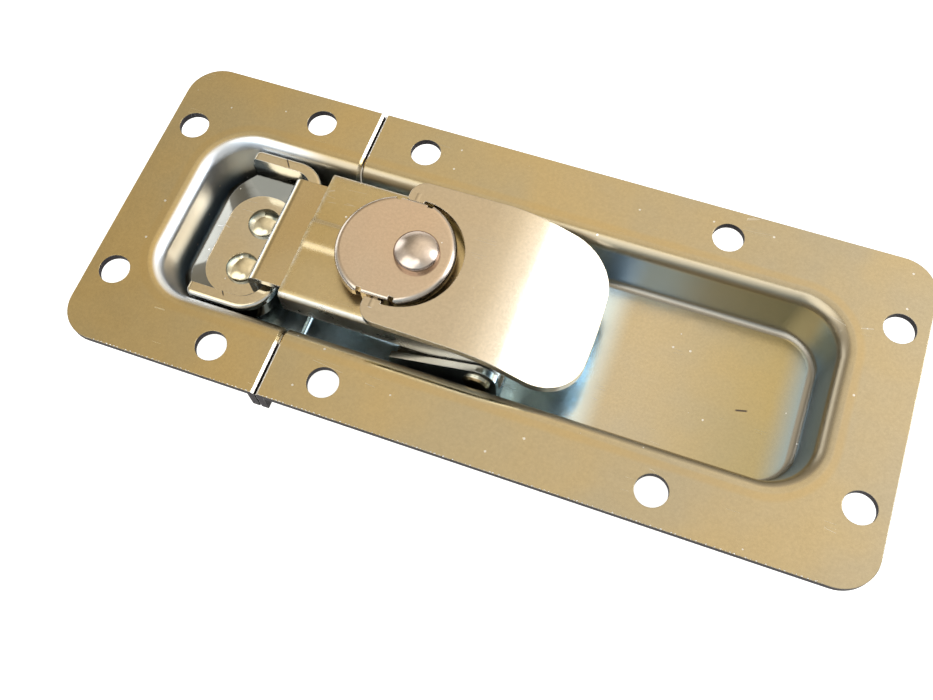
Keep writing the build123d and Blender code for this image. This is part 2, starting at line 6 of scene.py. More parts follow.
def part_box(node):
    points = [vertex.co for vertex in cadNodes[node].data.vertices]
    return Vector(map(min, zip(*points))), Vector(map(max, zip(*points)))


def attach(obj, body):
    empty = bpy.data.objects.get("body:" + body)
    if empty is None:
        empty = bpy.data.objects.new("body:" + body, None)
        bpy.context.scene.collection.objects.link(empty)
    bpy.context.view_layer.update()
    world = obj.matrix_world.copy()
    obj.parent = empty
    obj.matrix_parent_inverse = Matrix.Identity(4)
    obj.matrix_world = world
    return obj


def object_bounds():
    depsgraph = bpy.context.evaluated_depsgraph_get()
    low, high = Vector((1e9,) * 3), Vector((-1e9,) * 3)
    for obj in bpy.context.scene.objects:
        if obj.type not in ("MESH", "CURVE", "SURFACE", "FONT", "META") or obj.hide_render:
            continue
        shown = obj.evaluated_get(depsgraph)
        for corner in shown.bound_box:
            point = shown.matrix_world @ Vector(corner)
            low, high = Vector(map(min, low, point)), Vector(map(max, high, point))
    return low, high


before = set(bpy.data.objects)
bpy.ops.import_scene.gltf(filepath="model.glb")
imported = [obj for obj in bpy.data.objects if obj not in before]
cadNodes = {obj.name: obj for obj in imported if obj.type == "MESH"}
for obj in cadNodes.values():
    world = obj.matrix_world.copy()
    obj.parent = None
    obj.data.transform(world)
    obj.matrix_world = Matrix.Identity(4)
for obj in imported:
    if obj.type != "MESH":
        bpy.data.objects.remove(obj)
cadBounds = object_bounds()
print("frame loaded:", len(cadNodes), "nodes")


# camera: where the photograph was taken from, about 16 cm above the flange
cameraView = {
    "place": (0.05661, -0.06927, 0.14781),
    "target": (0.02787, -0.00974, 0.0012),
    "rollDegrees": 6.29,
    "lens": 40.98,
    "sensorWidth": 36,
    "clipStart": 0.01,
}


def placeCamera(view):
    place, target = Vector(view["place"]), Vector(view["target"])
    backward = (place - target).normalized()
    level = Vector((0, 0, 1)).cross(backward).normalized()
    upright = backward.cross(level)
    turned = Matrix((level, upright, backward)).transposed()
    roll = Matrix.Rotation(-math.radians(view["rollDegrees"]), 3, "Z")
    data = bpy.data.cameras.new("photoCamera")
    data.lens = view["lens"]
    data.sensor_width = view["sensorWidth"]
    data.clip_start = view["clipStart"]
    camera = bpy.data.objects.new("photoCamera", data)
    camera.matrix_world = Matrix.Translation(place) @ (turned @ roll).to_4x4()
    bpy.context.scene.collection.objects.link(camera)
    bpy.context.scene.camera = camera


placeCamera(cameraView)
bpy.context.scene.view_settings.view_transform = "Standard"
print("camera placed")


# small helpers for node trees
def addNode(tree, kind, place, settings=None, inputs=None):
    node = tree.nodes.new(kind)
    node.location = place
    for name, value in (settings or {}).items():
        setattr(node, name, value)
    for name, value in (inputs or {}).items():
        node.inputs[name].default_value = value
    return node


def wire(tree, *links):
    for source, target in links:
        tree.links.new(source, target)


def mathNode(tree, operation, place, first=None, second=None, third=None, clamp=False):
    node = addNode(tree, "ShaderNodeMath", place, {"operation": operation, "use_clamp": clamp})
    for index, value in enumerate((first, second, third)):
        if value is None:
            continue
        if isinstance(value, (int, float)):
            node.inputs[index].default_value = value
        else:
            tree.links.new(value, node.inputs[index])
    return node.outputs[0]


def mixColour(tree, place, factor, first, second, blend="MIX"):
    node = addNode(tree, "ShaderNodeMix", place, {"data_type": "RGBA", "blend_type": blend})
    for socket, value in zip((node.inputs[0], node.inputs[6], node.inputs[7]), (factor, first, second)):
        if isinstance(value, (int, float, tuple)):
            socket.default_value = value
        else:
            tree.links.new(value, socket)
    return node.outputs[2]


def smoothRange(tree, place, value, low, high, start=0.0, end=1.0):
    node = addNode(tree, "ShaderNodeMapRange", place, {"interpolation_type": "SMOOTHSTEP"})
    node.inputs["From Min"].default_value = low
    node.inputs["From Max"].default_value = high
    node.inputs["To Min"].default_value = start
    node.inputs["To Max"].default_value = end
    tree.links.new(value, node.inputs["Value"])
    return node.outputs["Result"]


# studio light: soft panels of the world, each a direction, a spread and a tint
worldLight = {
    "backdrop": (1.0, 1.0, 1.0),
    "base": (0.14, 0.155, 0.165),
    "panels": {
        "ceiling": {"azimuth": 60, "elevation": 62, "inner": 8, "outer": 58, "tint": (0.72, 0.66, 0.56)},
        "warmRoom": {"azimuth": 120, "elevation": 50, "inner": 10, "outer": 75, "tint": (0.24, 0.19, 0.11)},
        "window": {"azimuth": 31, "elevation": 35, "inner": 9, "outer": 15, "tint": (4.0, 4.2, 4.5)},
        "windowFoot": {"azimuth": 25, "elevation": 18, "inner": 11, "outer": 19, "tint": (3.2, 3.4, 3.6)},
        "coolSide": {"azimuth": -92, "elevation": 42, "inner": 10, "outer": 44, "tint": (0.26, 0.34, 0.40)},
        "windowHalo": {"azimuth": 34, "elevation": 42, "inner": 12, "outer": 36, "tint": (0.42, 0.42, 0.44)},
        "nearLeft": {"azimuth": -122, "elevation": 46, "inner": 14, "outer": 32, "tint": (1.9, 1.88, 1.8)},
        "farLeft": {"azimuth": 157, "elevation": 9, "inner": 8, "outer": 20, "tint": (1.7, 1.8, 1.9)},
        "farRoom": {"azimuth": 92, "elevation": 18, "inner": 12, "outer": 34, "tint": (0.34, 0.32, 0.28)},
        "leftRoom": {"azimuth": -165, "elevation": 36, "inner": 10, "outer": 36, "tint": (0.42, 0.42, 0.40)},
        "rightRoom": {"azimuth": -38, "elevation": 34, "inner": 10, "outer": 38, "tint": (0.42, 0.42, 0.40)},
        "nearLamp": {"azimuth": -78, "elevation": 67, "inner": 3, "outer": 13, "tint": (1.8, 1.8, 1.8)},
    },
}


def directionOf(azimuth, elevation):
    a, e = math.radians(azimuth), math.radians(elevation)
    return (math.cos(e) * math.cos(a), math.cos(e) * math.sin(a), math.sin(e))


def buildWorld(light):
    world = bpy.data.worlds.new("studioWorld")
    world.use_nodes = True
    bpy.context.scene.world = world
    tree = world.node_tree
    tree.nodes.clear()
    toward = addNode(tree, "ShaderNodeTexCoord", (-1200, 0)).outputs["Generated"]
    total = light["base"] + (1,)
    for row, panel in enumerate(light["panels"].values()):
        y = -260 * row
        along = addNode(tree, "ShaderNodeVectorMath", (-1000, y), {"operation": "DOT_PRODUCT"})
        along.inputs[1].default_value = directionOf(panel["azimuth"], panel["elevation"])
        wire(tree, (toward, along.inputs[0]))
        outer, inner = (math.cos(math.radians(panel[edge])) for edge in ("outer", "inner"))
        glow = smoothRange(tree, (-800, y), along.outputs["Value"], outer, inner)
        lit = mixColour(tree, (-600, y), glow, (0, 0, 0, 1), panel["tint"] + (1,))
        total = mixColour(tree, (-400, y), 1.0, total, lit, "ADD")
    seen = addNode(tree, "ShaderNodeLightPath", (-400, 300)).outputs["Is Camera Ray"]
    total = mixColour(tree, (-250, 100), seen, total, light["backdrop"] + (1,))
    background = addNode(tree, "ShaderNodeBackground", (-50, 0))
    output = addNode(tree, "ShaderNodeOutputWorld", (150, 0))
    wire(tree, (total, background.inputs["Color"]), (background.outputs[0], output.inputs["Surface"]))


buildWorld(worldLight)
print("studio light built")


# floor: a pale sheet just under the lowest rivet
floorSheet = {"half": 0.9, "gap": 0.0001, "colour": (0.75, 0.75, 0.75, 1), "roughness": 0.9, "glow": 0.8}


def layFloor(sheet):
    z = cadBounds[0][2] - sheet["gap"]
    half = sheet["half"]
    mesh = bpy.data.meshes.new("floor")
    corners = [(-half, -half, z), (half, -half, z), (half, half, z), (-half, half, z)]
    mesh.from_pydata(corners, [], [(0, 1, 2, 3)])
    floor = bpy.data.objects.new("floor", mesh)
    bpy.context.scene.collection.objects.link(floor)
    material = bpy.data.materials.new("paleFloor")
    material.use_nodes = True
    tree = material.node_tree
    shader = tree.nodes["Principled BSDF"]
    shader.inputs["Base Color"].default_value = sheet["colour"]
    shader.inputs["Roughness"].default_value = sheet["roughness"]
    shader.inputs["Specular IOR Level"].default_value = 0.0
    shader.inputs["Emission Color"].default_value = (1, 1, 1, 1)
    # white to the eye and in the latch's mirror, but it casts no light on it
    rays = addNode(tree, "ShaderNodeLightPath", (-800, -200)).outputs
    seen = mathNode(tree, "MAXIMUM", (-600, -200), rays["Is Camera Ray"], rays["Is Glossy Ray"])
    seen = mathNode(tree, "MAXIMUM", (-450, -200), seen, rays["Is Transmission Ray"])
    glow = mathNode(tree, "MULTIPLY", (-300, -200), seen, sheet["glow"])
    behind = addNode(tree, "ShaderNodeNewGeometry", (-450, 200)).outputs["Backfacing"]
    solid = mathNode(tree, "SUBTRACT", (-300, 200), 1.0, behind)  # seen through from below
    wire(tree, (glow, shader.inputs["Emission Strength"]), (solid, shader.inputs["Alpha"]))
    mesh.materials.append(material)


layFloor(floorSheet)
print("floor laid")


# shared effects, each a node group with named inputs
def newGroup(name, inputs, outputs):
    group = bpy.data.node_groups.new(name, "ShaderNodeTree")
    for label, kind, value in inputs:
        socket = group.interface.new_socket(label, in_out="INPUT", socket_type=kind)
        socket.default_value = value
    for label, kind in outputs:
        group.interface.new_socket(label, in_out="OUTPUT", socket_type=kind)
    source = addNode(group, "NodeGroupInput", (-1200, 0))
    target = addNode(group, "NodeGroupOutput", (800, 0))
    return group, source.outputs, target.inputs


number, colour, vector = "NodeSocketFloat", "NodeSocketColor", "NodeSocketVector"
driftSpan = (0.32, 0.68)
scratchLines = {
    "turns": (17, 71, -38),
    "stretch": (0.03, 1.0, 0.4),
    "shift": (0.013, 0.007),
    "gateShare": 0.55,
    "gateLevel": 0.75,
}
wearSpan = {"samples": 3, "turn": (0.97, 0.80), "breakup": (0.35, 0.6)}
markFade = {"length": (0.5, 0.3), "width": (0.5, 0.2)}


def buildTintDrift():
    # slow drift between two plating tints, with a finer cloud on top
    group, given, result = newGroup(
        "tintDrift",
        [
            ("Vector", vector, (0, 0, 0)),
            ("Warm", colour, (1, 1, 1, 1)),
            ("Cool", colour, (1, 1, 1, 1)),
            ("Scale", number, 40.0),
            ("Fine Scale", number, 600.0),
            ("Fine Amount", number, 0.1),
        ],
        [("Color", colour)],
    )
    slow = addNode(group, "ShaderNodeTexNoise", (-900, 200), None, {"Detail": 3.0, "Roughness": 0.5})
    fine = addNode(group, "ShaderNodeTexNoise", (-900, -150), None, {"Detail": 4.0, "Roughness": 0.65})
    wire(
        group,
        (given["Vector"], slow.inputs["Vector"]),
        (given["Scale"], slow.inputs["Scale"]),
        (given["Vector"], fine.inputs["Vector"]),
        (given["Fine Scale"], fine.inputs["Scale"]),
    )
    share = smoothRange(group, (-650, 200), slow.outputs["Fac"], *driftSpan)
    tint = mixColour(group, (-400, 200), share, given["Warm"], given["Cool"])
    cloud = mathNode(group, "SUBTRACT", (-650, -150), fine.outputs["Fac"], 0.5)
    cloud = mathNode(group, "MULTIPLY_ADD", (-400, -150), cloud, given["Fine Amount"], 1.0)
    spread = addNode(group, "ShaderNodeCombineColor", (-150, -150))
    wire(group, (cloud, spread.inputs[0]), (cloud, spread.inputs[1]), (cloud, spread.inputs[2]))
    mixed = mixColour(group, (150, 100), 1.0, tint, spread.outputs[0], "MULTIPLY")
    wire(group, (mixed, result["Color"]))
    return group


def buildScratches():
    # thin broken lines in two directions, as handling leaves on bright plate
    group, given, result = newGroup(
        "handlingScratches",
        [
            ("Vector", vector, (0, 0, 0)),
            ("Scale", number, 300.0),
            ("Width", number, 0.02),
            ("Share", number, 0.3),
        ],
        [("Mask", number)],
    )
    total = None
    shiftX, shiftY = scratchLines["shift"]
    for row, turn in enumerate(scratchLines["turns"]):
        y = -320 * row
        turned = addNode(group, "ShaderNodeMapping", (-1000, y))
        turned.inputs["Rotation"].default_value = (0, 0, math.radians(turn))
        turned.inputs["Scale"].default_value = scratchLines["stretch"]
        turned.inputs["Location"].default_value = (shiftX * row, shiftY * row, 0)
        cells = addNode(group, "ShaderNodeTexVoronoi", (-800, y), {"feature": "DISTANCE_TO_EDGE"})
        gate = addNode(group, "ShaderNodeTexNoise", (-800, y - 160), None, {"Detail": 1.0})
        gateScale = mathNode(group, "MULTIPLY", (-1000, y - 160), given["Scale"], scratchLines["gateShare"])
        wire(
            group,
            (given["Vector"], turned.inputs["Vector"]),
            (turned.outputs[0], cells.inputs["Vector"]),
            (given["Scale"], cells.inputs["Scale"]),
            (given["Vector"], gate.inputs["Vector"]),
            (gateScale, gate.inputs["Scale"]),
        )
        thin = mathNode(group, "LESS_THAN", (-600, y), cells.outputs["Distance"], given["Width"])
        level = mathNode(group, "SUBTRACT", (-600, y - 160), scratchLines["gateLevel"], given["Share"])
        shown = mathNode(group, "GREATER_THAN", (-400, y - 160), gate.outputs["Fac"], level)
        line = mathNode(group, "MULTIPLY", (-200, y), thin, shown)
        total = line if total is None else mathNode(group, "MAXIMUM", (0, y), total, line)
    wire(group, (total, result["Mask"]))
    return group


def buildSpecks():
    # scattered bright pits, each a small dot in its own cell
    group, given, result = newGroup(
        "platingSpecks",
        [
            ("Vector", vector, (0, 0, 0)),
            ("Scale", number, 700.0),
            ("Radius", number, 0.18),
            ("Share", number, 0.05),
        ],
        [("Mask", number)],
    )
    cells = addNode(group, "ShaderNodeTexVoronoi", (-800, 0), {"feature": "F1"})
    parted = addNode(group, "ShaderNodeSeparateColor", (-600, -200))
    wire(
        group,
        (given["Vector"], cells.inputs["Vector"]),
        (given["Scale"], cells.inputs["Scale"]),
        (cells.outputs["Color"], parted.inputs[0]),
    )
    near = mathNode(group, "LESS_THAN", (-400, 0), cells.outputs["Distance"], given["Radius"])
    chosen = mathNode(group, "LESS_THAN", (-400, -200), parted.outputs[0], given["Share"])
    wire(group, (mathNode(group, "MULTIPLY", (-150, 0), near, chosen), result["Mask"]))
    return group


def buildRecessDistance():
    # distance from the rim of the recess seen from above, negative inside it, and the height
    group, given, result = newGroup(
        "recessDistance",
        [
            ("Vector", vector, (0, 0, 0)),
            ("Middle", number, 0.0281),
            ("Half Length", number, 0.0529),
            ("Half Width", number, 0.015),
            ("Corner", number, 0.0075),
        ],
        [("Distance", number), ("Height", number), ("Along", number), ("Across", number)],
    )
    parts = addNode(group, "ShaderNodeSeparateXYZ", (-1000, 0))
    wire(group, (given["Vector"], parts.inputs[0]))
    shifted = mathNode(group, "SUBTRACT", (-850, 150), parts.outputs["X"], given["Middle"])
    along = mathNode(group, "ABSOLUTE", (-700, 150), shifted)
    across = mathNode(group, "ABSOLUTE", (-700, -100), parts.outputs["Y"])
    straightX = mathNode(group, "SUBTRACT", (-850, 300), given["Half Length"], given["Corner"])
    straightY = mathNode(group, "SUBTRACT", (-850, -250), given["Half Width"], given["Corner"])
    pastX = mathNode(group, "SUBTRACT", (-550, 150), along, straightX)
    pastY = mathNode(group, "SUBTRACT", (-550, -100), across, straightY)
    outX = mathNode(group, "MAXIMUM", (-400, 150), pastX, 0.0)
    outY = mathNode(group, "MAXIMUM", (-400, -50), pastY, 0.0)
    square = mathNode(group, "MULTIPLY", (-250, 150), outX, outX)
    square = mathNode(group, "MULTIPLY_ADD", (-100, 50), outY, outY, square)
    outer = mathNode(group, "SQRT", (50, 50), square)
    inner = mathNode(group, "MAXIMUM", (-250, -200), pastX, pastY)
    inner = mathNode(group, "MINIMUM", (-100, -200), inner, 0.0)
    distance = mathNode(group, "ADD", (200, 0), outer, inner)
    distance = mathNode(group, "SUBTRACT", (350, 0), distance, given["Corner"])
    wire(
        group,
        (distance, result["Distance"]),
        (parts.outputs["Z"], result["Height"]),
        (parts.outputs["X"], result["Along"]),
        (parts.outputs["Y"], result["Across"]),
    )
    return group


def buildEdgeWear():
    # rounded sheet edges and a mask along them, broken up by noise
    group, given, result = newGroup(
        "edgeWear",
        [("Vector", vector, (0, 0, 0)), ("Radius", number, 0.0002), ("Scale", number, 500.0)],
        [("Mask", number), ("Normal", vector)],
    )
    rounded = addNode(group, "ShaderNodeBevel", (-800, 0), {"samples": wearSpan["samples"]})
    plain = addNode(group, "ShaderNodeNewGeometry", (-800, -250))
    across = addNode(group, "ShaderNodeVectorMath", (-600, -100), {"operation": "DOT_PRODUCT"})
    breakup = addNode(group, "ShaderNodeTexNoise", (-600, -350), None, {"Detail": 3.0})
    wire(
        group,
        (given["Radius"], rounded.inputs["Radius"]),
        (rounded.outputs["Normal"], across.inputs[0]),
        (plain.outputs["Normal"], across.inputs[1]),
        (given["Vector"], breakup.inputs["Vector"]),
        (given["Scale"], breakup.inputs["Scale"]),
        (rounded.outputs["Normal"], result["Normal"]),
    )
    worn = smoothRange(group, (-350, -100), across.outputs["Value"], *wearSpan["turn"])
    broken = smoothRange(group, (-350, -350), breakup.outputs["Fac"], *wearSpan["breakup"])
    wire(group, (mathNode(group, "MULTIPLY", (-100, -100), worn, broken), result["Mask"]))
    return group


def buildDomeSwell():
    # height of a shallow dome over one head, or over two heads side by side
    group, given, result = newGroup(
        "domeSwell",
        [
            ("Vector", vector, (0, 0, 0)),
            ("Along", number, 0.0),
            ("Across", number, 0.0),
            ("Spacing", number, 0.0),
            ("Radius", number, 0.005),
        ],
        [("Height", number)],
    )
    parts = addNode(group, "ShaderNodeSeparateXYZ", (-1000, 0))
    wire(group, (given["Vector"], parts.inputs[0]))
    dx = mathNode(group, "SUBTRACT", (-800, 150), parts.outputs["X"], given["Along"])
    dy = mathNode(group, "SUBTRACT", (-800, -50), parts.outputs["Y"], given["Across"])
    dy = mathNode(group, "ABSOLUTE", (-650, -50), dy)
    dy = mathNode(group, "SUBTRACT", (-500, -50), dy, given["Spacing"])
    square = mathNode(group, "MULTIPLY", (-500, 150), dx, dx)
    square = mathNode(group, "MULTIPLY_ADD", (-300, 50), dy, dy, square)
    fall = mathNode(group, "DIVIDE", (-100, 50), square, given["Radius"])
    wire(group, (mathNode(group, "MULTIPLY", (100, 50), fall, -0.5), result["Height"]))
    return group


def buildStrayMark():
    # one short straight mark at a given place, soft at its ends
    group, given, result = newGroup(
        "strayMark",
        [
            ("Vector", vector, (0, 0, 0)),
            ("Place", vector, (0, 0, 0)),
            ("Turn", vector, (0, 0, 0)),
            ("Length", number, 0.001),
            ("Width", number, 0.0001),
        ],
        [("Mask", number)],
    )
    away = addNode(group, "ShaderNodeVectorMath", (-1000, 0), {"operation": "SUBTRACT"})
    settings = {"rotation_type": "EULER_XYZ", "invert": True}
    turned = addNode(group, "ShaderNodeVectorRotate", (-800, 0), settings)
    parts = addNode(group, "ShaderNodeSeparateXYZ", (-600, 0))
    wire(
        group,
        (given["Vector"], away.inputs[0]),
        (given["Place"], away.inputs[1]),
        (away.outputs[0], turned.inputs["Vector"]),
        (given["Turn"], turned.inputs["Rotation"]),
        (turned.outputs[0], parts.inputs[0]),
    )
    shares = []
    for axis, size, y in (("X", "Length", 100), ("Y", "Width", -100)):
        share = mathNode(group, "ABSOLUTE", (-500, y), parts.outputs[axis])
        share = mathNode(group, "DIVIDE", (-400, y), share, given[size])
        shares.append(smoothRange(group, (-200, y), share, *markFade[size.lower()]))
    wire(group, (mathNode(group, "MULTIPLY", (0, 0), *shares), result["Mask"]))
    return group


effects = {
    "tintDrift": buildTintDrift(),
    "scratches": buildScratches(),
    "specks": buildSpecks(),
    "edgeWear": buildEdgeWear(),
    "recessDistance": buildRecessDistance(),
    "domeSwell": buildDomeSwell(),
    "strayMark": buildStrayMark(),
}
print("shared effects built:", len(effects))


# one recipe for zinc plated steel, each finish with its own values
def useGroup(tree, name, place, coordinates, values):
    node = addNode(tree, "ShaderNodeGroup", place, {"node_tree": effects[name]})
    for label, value in values.items():
        node.inputs[label].default_value = value
    tree.links.new(coordinates, node.inputs["Vector"])
    return node.outputs


def band(tree, place, value, rise, fall):
    # 1 between the two ramps, 0 outside them
    x, y = place
    up = smoothRange(tree, (x, y), value, rise[0], rise[1])
    down = smoothRange(tree, (x, y - 120), value, fall[1], fall[0])
    return mathNode(tree, "MULTIPLY", (x + 170, y), up, down)


def paintRecess(tree, coordinates, facing, tint, paint):
    # painted light and shade over the dish, placed by distance from the recess and by height: returns the tint
    # and the masks of drawn metal and cut edges
    def ramp(x, y, value, key):
        return smoothRange(tree, (x, y), value, *paint[key])

    def ridge(x, y, value, key):
        return band(tree, (x, y), value, paint[key][:2], paint[key][2:])

    def product(x, y, first, second):
        return mathNode(tree, "MULTIPLY", (x, y), first, second)

    def layer(x, y, share, below, above):
        return mixColour(tree, (x, y), share, below, above)

    place = useGroup(tree, "recessDistance", (-2200, 900), coordinates, paint["outline"])
    distance, height, along, across = (place[key] for key in ("Distance", "Height", "Along", "Across"))

    # flange greyer to the right; floors with painted reflection, lighter and cooler near the wing and darker
    # to the far end, cool painted shade round the keeper and under the wing, and a darker painted shade along
    # the far end's base
    lean = layer(-1700, 1500, ramp(-1900, 1500, along, "rightReach"), paint["left"], paint["right"])
    flange = mixColour(tree, (-1500, 1500), 1.0, tint, lean, "MULTIPLY")
    lean = layer(-1700, 1300, ramp(-1900, 1300, along, "floorReach"), paint["floorNear"], paint["floorFar"])
    floor = mixColour(tree, (-1500, 1300), 1.0, tint, lean, "MULTIPLY")
    floor = layer(-1400, 1250, ramp(-1900, 1080, along, "shadeReach"), floor, paint["shade"])
    floor = layer(-1300, 1300, ramp(-1900, 1150, along, "footReach"), floor, paint["foot"])
    tint = layer(-1100, 1400, ramp(-1900, 1000, height, "floorDepth"), flange, floor)

    # walls of the recess darkened with painted shade, with a cool painted reflection at both ends and a bluish
    # painted shade beside the wing
    shadedWall = ridge(-1900, 600, height, "wallDepth")
    reach = mathNode(tree, "SUBTRACT", (-1900, 350), along, paint["outline"]["Middle"])
    reach = mathNode(tree, "ABSOLUTE", (-1800, 350), reach)
    wallShadeTint = layer(-1500, 450, ramp(-1700, 350, reach, "endReach"), paint["sideWall"], paint["endWall"])
    patch = ridge(-1900, 200, along, "patchReach")
    patch = product(-1550, 200, patch, ramp(-1700, 80, across, "patchSide"))
    wallShadeTint = layer(-1300, 450, patch, wallShadeTint, paint["patch"])
    tint = layer(-900, 1200, shadedWall, tint, wallShadeTint)

    # painted shade on the drawn edge of the recess, a silver painted highlight on that edge round the keeper
    # half, and painted shade in the creases at the walls' base
    drawn = ridge(-1900, -300, distance, "drawnReach")
    rim = product(-1550, -420, drawn, ramp(-1700, -560, height, "rimDepth"))
    tint = layer(-850, 1180, rim, tint, paint["rim"])
    silver = product(-1550, -300, drawn, ramp(-1700, -450, along, "silverReach"))
    silver = product(-1400, -300, silver, ramp(-1550, -450, height, "silverDepth"))
    tint = layer(-800, 1150, silver, tint, paint["silver"])
    crease = ridge(-1900, -650, distance, "creaseReach")
    crease = product(-1550, -650, crease, ramp(-1700, -800, height, "creaseDepth"))
    tint = layer(-750, 1130, crease, tint, paint["crease"])

    # painted highlight on the bends of the seam lips, a golden painted reflection as a line outside the recess
    # edge, and cut edges and hole walls painted near black as painted shade
    upright = mathNode(tree, "ABSOLUTE", (-1900, -50), facing)
    glint = ridge(-1900, -950, upright, "glintFacing")
    glint = product(-1550, -950, glint, ramp(-1700, -1100, distance, "cutReach"))
    tint = layer(-730, 1110, glint, tint, paint["glint"])
    line = product(-1550, 850, ridge(-1900, 850, distance, "lineReach"), paint["lineShare"])
    line = product(-1100, 850, line, ramp(-1300, 850, height, "lineHeight"))
    tint = layer(-700, 1100, line, tint, paint["line"])
    cut = ramp(-1750, -50, upright, "cutFacing")
    cut = product(-1550, -50, cut, ramp(-1750, -170, distance, "cutReach"))
    return layer(-500, 1000, cut, tint, paint["cutEdge"]), drawn, cut


def paintSpread(tree, coordinates, tint, paint):
    # one tint that gives way to another along the piece: on the wing, painted light growing toward its tip
    parts = addNode(tree, "ShaderNodeSeparateXYZ", (-1500, 700))
    wire(tree, (coordinates, parts.inputs[0]))
    share = smoothRange(tree, (-1300, 700), parts.outputs["X"], *paint["reach"])
    lean = mixColour(tree, (-1100, 700), share, paint["start"], paint["end"])
    return mixColour(tree, (-900, 700), 1.0, tint, lean, "MULTIPLY")


def tintPlate(tree, coordinates, facing, finish):
    # the drifting tint with what the finish paints over it, mostly painted light and shade
    tint = useGroup(tree, "tintDrift", (-1300, 400), coordinates, finish["tint"])["Color"]
    drawn = cut = None
    if "recess" in finish:
        tint, drawn, cut = paintRecess(tree, coordinates, facing, tint, finish["recess"])
    if "spread" in finish:
        tint = paintSpread(tree, coordinates, tint, finish["spread"])
    # steep faces: a painted highlight on bends and rims, or a painted shade ring on rivet heads
    if "slope" in finish:
        steep = smoothRange(tree, (-900, 350), facing, *finish["slope"]["facing"])
        tint = mixColour(tree, (-700, 300), steep, tint, finish["slope"]["tint"])
    # painted shade on tilted faces deep in a tray
    if "depth" in finish:
        depth = finish["depth"]
        parts = addNode(tree, "ShaderNodeSeparateXYZ", (-1500, 550))
        wire(tree, (coordinates, parts.inputs[0]))
        steep = smoothRange(tree, (-1300, 600), facing, *depth["facing"])
        low = smoothRange(tree, (-1300, 500), parts.outputs["Z"], *depth["reach"])
        inside = mathNode(tree, "MULTIPLY", (-1100, 550), steep, low)
        tint = mixColour(tree, (-600, 350), inside, tint, depth["tint"])
    # painted light on faces turned down
    if "underside" in finish:
        below = smoothRange(tree, (-900, 550), facing, *finish["underside"]["facing"])
        tint = mixColour(tree, (-700, 500), below, tint, finish["underside"]["tint"])
    for row, mark in enumerate(finish.get("strayMarks", ())):
        y = 900 + 250 * row
        shown = useGroup(tree, "strayMark", (-700, y), coordinates, mark["where"])["Mask"]
        tint = mixColour(tree, (-450, y), shown, tint, mark["tint"])
    return tint, drawn, cut


def roughenPlate(tree, shader, coordinates, marks, drawn, cut, finish):
    # cloudy roughness, more on marks and drawn metal, most on cut edges, which mirror less too
    clouds = addNode(tree, "ShaderNodeTexNoise", (-1300, -650), None, {"Detail": 5.0, "Roughness": 0.6})
    clouds.inputs["Scale"].default_value = finish["cloudScale"]
    wire(tree, (coordinates, clouds.inputs["Vector"]))
    rough = smoothRange(tree, (-1000, -650), clouds.outputs["Fac"], *finish["cloudSpan"], *finish["roughness"])
    rough = mathNode(tree, "MULTIPLY_ADD", (-500, -150), marks, finish["markRoughness"], rough)
    if drawn is not None:
        dull = mathNode(tree, "SUBTRACT", (-500, -300), finish["drawnRoughness"], rough)
        rough = mathNode(tree, "MULTIPLY_ADD", (-350, -200), drawn, dull, rough)
    if cut is not None:
        torn = mathNode(tree, "MULTIPLY", (-350, -350), cut, finish["cutRoughness"])
        rough = mathNode(tree, "MAXIMUM", (-200, -250), rough, torn)
        metal = mathNode(tree, "MULTIPLY_ADD", (-350, -500), cut, -finish["cutDullness"], 1.0)
        wire(tree, (metal, shader.inputs["Metallic"]))
    wire(tree, (rough, shader.inputs["Roughness"]))


def bumpPlate(tree, shader, coordinates, marks, rounded, finish):
    # rounded edges, then swollen heads, slow waves, fine grain and the marks
    waves = addNode(tree, "ShaderNodeTexNoise", (-1300, -900), None, {"Detail": 2.0, "Roughness": 0.5})
    waves.inputs["Scale"].default_value = finish["waveScale"]
    grain = addNode(tree, "ShaderNodeTexNoise", (-1300, -1150), None, {"Detail": 3.0, "Roughness": 0.6})
    grain.inputs["Scale"].default_value = finish["grainScale"]
    wire(tree, (coordinates, waves.inputs["Vector"]), (coordinates, grain.inputs["Vector"]))
    waved = addNode(tree, "ShaderNodeBump", (-800, -800), None, {"Distance": finish["waveHeight"]})
    grained = addNode(tree, "ShaderNodeBump", (-550, -900), None, {"Distance": finish["grainHeight"]})
    scored = addNode(tree, "ShaderNodeBump", (-300, -700), {"invert": True}, {"Distance": finish["markDepth"]})
    if "swell" in finish:
        domed = addNode(tree, "ShaderNodeBump", (-1000, -600), None, {"Distance": 1.0})
        height = useGroup(tree, "domeSwell", (-1300, -1400), coordinates, finish["swell"])["Height"]
        wire(tree, (rounded, domed.inputs["Normal"]), (height, domed.inputs["Height"]))
        rounded = domed.outputs["Normal"]
    wire(
        tree,
        (rounded, waved.inputs["Normal"]),
        (waves.outputs["Fac"], waved.inputs["Height"]),
        (waved.outputs["Normal"], grained.inputs["Normal"]),
        (grain.outputs["Fac"], grained.inputs["Height"]),
        (grained.outputs["Normal"], scored.inputs["Normal"]),
        (marks, scored.inputs["Height"]),
        (scored.outputs["Normal"], shader.inputs["Normal"]),
    )


